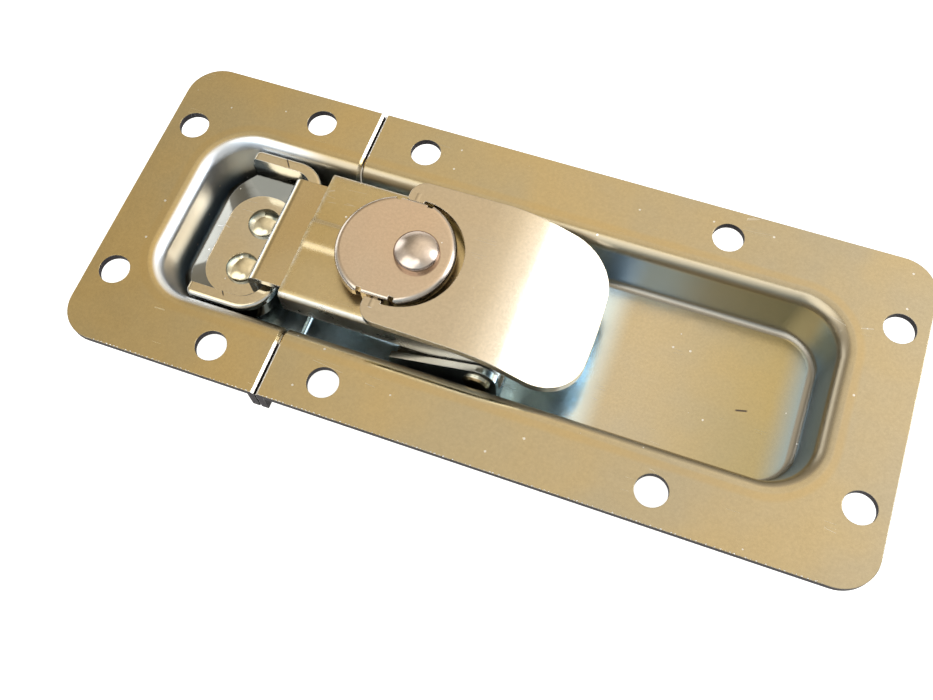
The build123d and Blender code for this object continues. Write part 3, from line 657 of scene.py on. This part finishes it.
def platedSteel(name, finish):
    material = bpy.data.materials.new(name)
    material.use_nodes = True
    tree = material.node_tree
    shader = tree.nodes["Principled BSDF"]
    shader.inputs["Metallic"].default_value = 1.0
    source = addNode(tree, "ShaderNodeTexCoord", (-2500, 0))
    coordinates = source.outputs["Object"]
    facing = addNode(tree, "ShaderNodeSeparateXYZ", (-2300, -150))
    wire(tree, (source.outputs["Normal"], facing.inputs[0]))
    tint, drawn, cut = tintPlate(tree, coordinates, facing.outputs["Z"], finish)
    lines = useGroup(tree, "scratches", (-1300, 100), coordinates, finish["scratches"])["Mask"]
    dots = useGroup(tree, "specks", (-1300, -150), coordinates, finish["specks"])["Mask"]
    edges = useGroup(tree, "edgeWear", (-1300, -400), coordinates, finish["edges"])
    faint = mathNode(tree, "MULTIPLY", (-1000, 120), lines, finish["lineShine"])
    clear = mathNode(tree, "MULTIPLY", (-1000, 220), dots, finish["dotShine"])
    worn = mathNode(tree, "MULTIPLY", (-1000, -300), edges["Mask"], finish["edgeShine"])
    lifted = mathNode(tree, "MAXIMUM", (-850, 100), faint, clear)
    bright = mathNode(tree, "MAXIMUM", (-700, 0), lifted, worn)
    shown = mixColour(tree, (-500, 300), bright, tint, finish["bareSteel"])
    wire(tree, (shown, shader.inputs["Base Color"]))
    marks = mathNode(tree, "MAXIMUM", (-1000, 0), lines, dots)
    roughenPlate(tree, shader, coordinates, marks, drawn, cut, finish)
    bumpPlate(tree, shader, coordinates, marks, edges["Normal"], finish)
    return material


def finishOf(**changes):
    # the plain flange finish, with what a piece has differently
    finish = {
        "tint": {
            "Warm": (0.68, 0.51, 0.255, 1),
            "Cool": (0.60, 0.49, 0.30, 1),
            "Scale": 45.0,
            "Fine Scale": 2200.0,
            "Fine Amount": 0.3,
        },
        "scratches": {"Scale": 240.0, "Width": 0.0022, "Share": 0.07},
        "specks": {"Scale": 420.0, "Radius": 0.08, "Share": 0.28},
        "edges": {"Radius": 0.00018, "Scale": 500.0},
        "bareSteel": (0.86, 0.84, 0.80, 1),
        "lineShine": 0.25,
        "dotShine": 0.9,
        "edgeShine": 0.5,
        "cloudScale": 260.0,
        "cloudSpan": (0.3, 0.7),
        "roughness": (0.17, 0.26),
        "markRoughness": 0.12,
        "waveScale": 110.0,
        "waveHeight": 0.00005,
        "grainScale": 2600.0,
        "grainHeight": 0.000006,
        "markDepth": 0.000006,
    }
    for key, value in changes.items():
        if isinstance(value, dict) and key in finish:
            finish[key] = {**finish[key], **value}
        else:
            finish[key] = value
    return finish


recessPaint = {
    "outline": {"Middle": 0.0281, "Half Length": 0.0529, "Half Width": 0.015, "Corner": 0.0075},
    "rightReach": (-0.025, 0.085),
    "left": (0.86, 0.85, 0.78, 1),
    "right": (0.80, 0.86, 1.02, 1),
    # floors: painted reflection, lighter near the wing and darker to the far end; cool painted shade round the
    # keeper and under the wing; painted shade along the far end's base
    "floorReach": (0.050, 0.078),
    "floorNear": (0.88, 0.97, 1.25, 1),
    "floorFar": (0.74, 0.76, 0.66, 1),
    "shadeReach": (0.050, 0.044),
    "shade": (0.78, 0.92, 0.98, 1),
    "footReach": (0.0735, 0.0795),
    "floorDepth": (-0.0070, -0.0078),
    "wallDepth": (-0.0078, -0.0070, -0.0012, 0.0008),
    "foot": (0.30, 0.40, 0.46, 1),
    "rimDepth": (-0.0012, 0.0002),
    "silverReach": (-0.005, -0.0165),
    "silverDepth": (-0.0058, -0.0024),
    # drawn edge: painted shade, and a silver painted highlight round the keeper half
    "rim": (0.44, 0.37, 0.26, 1),
    "silver": (0.88, 0.90, 0.93, 1),
    # golden line outside the recess edge: painted reflection
    "lineReach": (0.0018, 0.0023, 0.0028, 0.0036),
    "lineHeight": (0.0009, 0.0011),
    "lineShare": 0.3,
    "line": (0.58, 0.40, 0.15, 1),
    # walls: painted shade on the sides, cool painted reflection at both ends, bluish painted shade beside the
    # wing
    "sideWall": (0.36, 0.34, 0.28, 1),
    "endWall": (0.34, 0.44, 0.54, 1),
    "endReach": (0.0482, 0.0512),
    "patchReach": (0.040, 0.046, 0.052, 0.062),
    "patchSide": (0.009, 0.012),
    "patch": (0.34, 0.42, 0.52, 1),
    "drawnReach": (-0.0031, -0.0027, 0.0006, 0.0014),
    "creaseReach": (-0.0031, -0.0027, -0.0019, -0.0016),
    "creaseDepth": (-0.0064, -0.0070),
    # creases along the walls' base: painted shade
    "crease": (0.34, 0.31, 0.26, 1),
    # seam lip bends: painted highlight; cut edges and hole walls: painted shade
    "glintFacing": (0.35, 0.55, 0.90, 0.97),
    "glint": (0.78, 0.76, 0.72, 1),
    "cutFacing": (0.35, 0.15),
    "cutReach": (0.0025, 0.0030),
    "cutEdge": (0.028, 0.022, 0.026, 1),
}


def swellOf(node, radius):
    # where a pair of heads, or one head, has its middle, and how far its dome swells
    low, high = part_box(node)
    head = (high[0] - low[0]) / 2
    middle = (high[1] + low[1]) / 2
    return {
        "Along": low[0] + head,
        "Across": middle,
        "Spacing": max(high[1] - middle - head, 0.0),
        "Radius": radius,
    }


floorFleck = {
    "where": {"Place": (0.0699, -0.0020, -0.0078), "Turn": (0, 0, 0.24), "Length": 0.0022, "Width": 0.00042},
    "tint": (0.10, 0.08, 0.07, 1),
}
keeperTicks = [
    {
        "where": {"Place": place, "Turn": (0, 0, -0.95), "Length": 0.0024, "Width": 0.0003},
        "tint": (0.10, 0.08, 0.07, 1),
    }
    for place in ((-0.0123, 0.0132, 0.0002), (-0.0125, -0.0121, 0.0002))
]
plateFinishes = {
    "dishPlate": finishOf(
        recess=recessPaint,
        drawnRoughness=0.34,
        cutRoughness=0.75,
        cutDullness=0.8,
        strayMarks=[floorFleck],
    ),
    # bracket: steep faces get a cool painted highlight
    "bracketPlate": finishOf(
        tint={"Warm": (0.58, 0.50, 0.36, 1), "Cool": (0.54, 0.52, 0.46, 1)},
        slope={"facing": (0.97, 0.85), "tint": (0.76, 0.86, 0.92, 1)},
    ),
    # cover: bends and rib sides get a pale painted highlight
    "coverPlate": finishOf(
        tint={"Warm": (0.53, 0.39, 0.17, 1), "Cool": (0.57, 0.45, 0.25, 1)},
        edges={"Radius": 0.0011},
        roughness=(0.25, 0.33),
        slope={"facing": (0.95, 0.80), "tint": (0.80, 0.77, 0.71, 1)},
    ),
    # hook: its bends get a pale painted highlight
    "hookPlate": finishOf(
        tint={"Warm": (0.53, 0.39, 0.19, 1), "Cool": (0.57, 0.45, 0.26, 1)},
        roughness=(0.22, 0.30),
        slope={"facing": (0.95, 0.80), "tint": (0.80, 0.80, 0.78, 1)},
    ),
    # hub: its rounded edge gets a greyer painted highlight
    "hubPlate": finishOf(
        tint={"Warm": (0.66, 0.50, 0.36, 1), "Cool": (0.62, 0.50, 0.38, 1)},
        slope={"facing": (0.97, 0.85), "tint": (0.62, 0.54, 0.46, 1)},
    ),
    # wing: painted light growing toward the tip, painted light on its lower faces, painted highlight on its
    # bends
    "wingPlate": finishOf(
        tint={"Warm": (0.78, 0.68, 0.52, 1), "Cool": (0.76, 0.69, 0.57, 1)},
        spread={"reach": (0.022, 0.042), "start": (0.76, 0.70, 0.62, 1), "end": (1, 1, 1, 1)},
        underside={"facing": (-0.2, -0.6), "tint": (0.84, 0.95, 1.0, 1)},
        roughness=(0.18, 0.25),
        slope={"facing": (0.80, 0.55), "tint": (0.88, 0.86, 0.82, 1)},
    ),
    # keeper: rims get a pale painted highlight, tilted faces deep in its tray a dark painted shade
    "keeperPlate": finishOf(
        tint={"Warm": (0.62, 0.49, 0.29, 1), "Cool": (0.60, 0.51, 0.36, 1)},
        roughness=(0.10, 0.17),
        slope={"facing": (0.92, 0.60), "tint": (0.80, 0.82, 0.82, 1)},
        strayMarks=keeperTicks,
        depth={"facing": (0.995, 0.95), "reach": (-0.0015, -0.0030), "tint": (0.14, 0.137, 0.12, 1)},
    ),
    "rivetSteel": finishOf(
        tint={"Warm": (0.66, 0.53, 0.34, 1), "Cool": (0.64, 0.56, 0.42, 1)},
        roughness=(0.08, 0.13),
    ),
    # keeper rivets: a dark painted shade ring round the heads
    "keeperRivetSteel": finishOf(
        tint={"Warm": (0.70, 0.58, 0.36, 1), "Cool": (0.68, 0.60, 0.42, 1)},
        roughness=(0.09, 0.13),
        slope={"facing": (0.80, 0.45), "tint": (0.30, 0.34, 0.38, 1)},
        swell=swellOf("keeper_rivets", 0.0065),
    ),
    # crank rivet: a brown painted shade ring round the head
    "crankRivetSteel": finishOf(
        tint={"Warm": (0.66, 0.54, 0.45, 1), "Cool": (0.64, 0.55, 0.47, 1)},
        roughness=(0.18, 0.25),
        slope={"facing": (0.98, 0.78), "tint": (0.36, 0.27, 0.22, 1)},
        swell=swellOf("crank_rivet", 0.013),
    ),
}
nodeFinish = {
    "latch_dish": "dishPlate",
    "keeper_dish": "dishPlate",
    "base_bracket": "bracketPlate",
    "bracket_rivets": "rivetSteel",
    "pivot_pin": "rivetSteel",
    "channel_cover": "coverPlate",
    "hook_plate": "hookPlate",
    "hub_disc": "hubPlate",
    "hub_boss": "hubPlate",
    "crank_rivet": "crankRivetSteel",
    "crank_washer": "rivetSteel",
    "hinge_pins": "rivetSteel",
    "wing": "wingPlate",
    "keeper": "keeperPlate",
    "keeper_rivets": "keeperRivetSteel",
}
plates = {name: platedSteel(name, finish) for name, finish in plateFinishes.items()}
for nodeName, finishName in nodeFinish.items():
    for slot in cadNodes[nodeName].material_slots:
        slot.material = plates[finishName]
print("finishes set:", len(plates))

# shear burrs: a broken row of tiny bright crumbs along the near cut edge of each half
burrRow = {"inset": 0.00012, "cornerRoom": 0.007, "seamRoom": 0.0006, "pitch": 0.0007}
burrShape = {"Size": (0.00022, 0.00011, 0.00010), "Wander": 0.00018, "Smallest": 0.3, "Seed": 11}


def buildBurrTree():
    tree = bpy.data.node_groups.new("burrRow", "GeometryNodeTree")
    kinds = (
        ("Start", "NodeSocketVector"),
        ("End", "NodeSocketVector"),
        ("Count", "NodeSocketInt"),
        ("Size", "NodeSocketVector"),
        ("Wander", "NodeSocketFloat"),
        ("Smallest", "NodeSocketFloat"),
        ("Seed", "NodeSocketInt"),
        ("Material", "NodeSocketMaterial"),
    )
    sockets = {name: tree.interface.new_socket(name, in_out="INPUT", socket_type=kind) for name, kind in kinds}
    tree.interface.new_socket("Geometry", in_out="OUTPUT", socket_type="NodeSocketGeometry")
    given = addNode(tree, "NodeGroupInput", (-900, 0)).outputs
    line = addNode(tree, "GeometryNodeMeshLine", (-650, 200), {"mode": "END_POINTS"})
    spread = addNode(tree, "FunctionNodeRandomValue", (-650, -100), {"data_type": "FLOAT_VECTOR"})
    spread.inputs[0].default_value = (-1, 0, 0)
    spread.inputs[1].default_value = (1, 0, 0)
    shift = addNode(tree, "ShaderNodeVectorMath", (-450, -100), {"operation": "SCALE"})
    moved = addNode(tree, "GeometryNodeSetPosition", (-250, 150))
    share = addNode(tree, "FunctionNodeRandomValue", (-650, -350), {"data_type": "FLOAT"})
    share.inputs[3].default_value = 1.0
    sized = addNode(tree, "ShaderNodeVectorMath", (-450, -350), {"operation": "SCALE"})
    ball = {"Radius": 1.0, "Subdivisions": 1}
    crumb = addNode(tree, "GeometryNodeMeshIcoSphere", (-450, 400), None, ball)
    placed = addNode(tree, "GeometryNodeInstanceOnPoints", (0, 150))
    solid = addNode(tree, "GeometryNodeRealizeInstances", (200, 150))
    finished = addNode(tree, "GeometryNodeSetMaterial", (400, 150))
    output = addNode(tree, "NodeGroupOutput", (600, 150))
    wire(
        tree,
        (given["Count"], line.inputs["Count"]),
        (given["Start"], line.inputs["Start Location"]),
        (given["End"], line.inputs["Offset"]),
        (given["Seed"], spread.inputs["Seed"]),
        (given["Seed"], share.inputs["Seed"]),
        (given["Smallest"], share.inputs[2]),
        (spread.outputs[0], shift.inputs[0]),
        (given["Wander"], shift.inputs["Scale"]),
        (line.outputs["Mesh"], moved.inputs["Geometry"]),
        (shift.outputs[0], moved.inputs["Offset"]),
        (given["Size"], sized.inputs[0]),
        (share.outputs[1], sized.inputs["Scale"]),
        (moved.outputs["Geometry"], placed.inputs["Points"]),
        (crumb.outputs["Mesh"], placed.inputs["Instance"]),
        (sized.outputs[0], placed.inputs["Scale"]),
        (placed.outputs["Instances"], solid.inputs["Geometry"]),
        (solid.outputs["Geometry"], finished.inputs["Geometry"]),
        (given["Material"], finished.inputs["Material"]),
        (finished.outputs["Geometry"], output.inputs[0]),
    )
    return tree, {name: socket.identifier for name, socket in sockets.items()}


def growBurrs(name, values):
    piece = bpy.data.objects.new(name, bpy.data.meshes.new(name))
    bpy.context.scene.collection.objects.link(piece)
    modifier = piece.modifiers.new("burrRow", "NODES")
    modifier.node_group = burrTree
    for label, value in values.items():
        modifier[burrSockets[label]] = value
    bpy.context.view_layer.update()
    grown = piece.evaluated_get(bpy.context.evaluated_depsgraph_get())
    mesh = bpy.data.meshes.new_from_object(grown)
    piece.modifiers.remove(modifier)
    piece.data = mesh
    return piece


burrTree, burrSockets = buildBurrTree()
burrTint = {"Warm": (0.90, 0.86, 0.78, 1), "Cool": (0.84, 0.82, 0.80, 1)}
burrSteel = platedSteel("burrSteel", finishOf(tint=burrTint))
for name, nodeName, seamSide in (("keeperEdgeBurrs", "keeper_dish", 1), ("latchEdgeBurrs", "latch_dish", 0)):
    low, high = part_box(nodeName)
    rooms = [burrRow["cornerRoom"], burrRow["cornerRoom"]]
    rooms[seamSide] = burrRow["seamRoom"]
    start, end = low[0] + rooms[0], high[0] - rooms[1]
    y, z = low[1] + burrRow["inset"], high[2]
    count = int((end - start) / burrRow["pitch"])
    row = {"Start": (start, y, z), "End": (end, y, z), "Count": count, "Material": burrSteel}
    burrs = growBurrs(name, {**row, **burrShape})
    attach(burrs, "base")
    print(name, len(burrs.data.polygons), "faces")
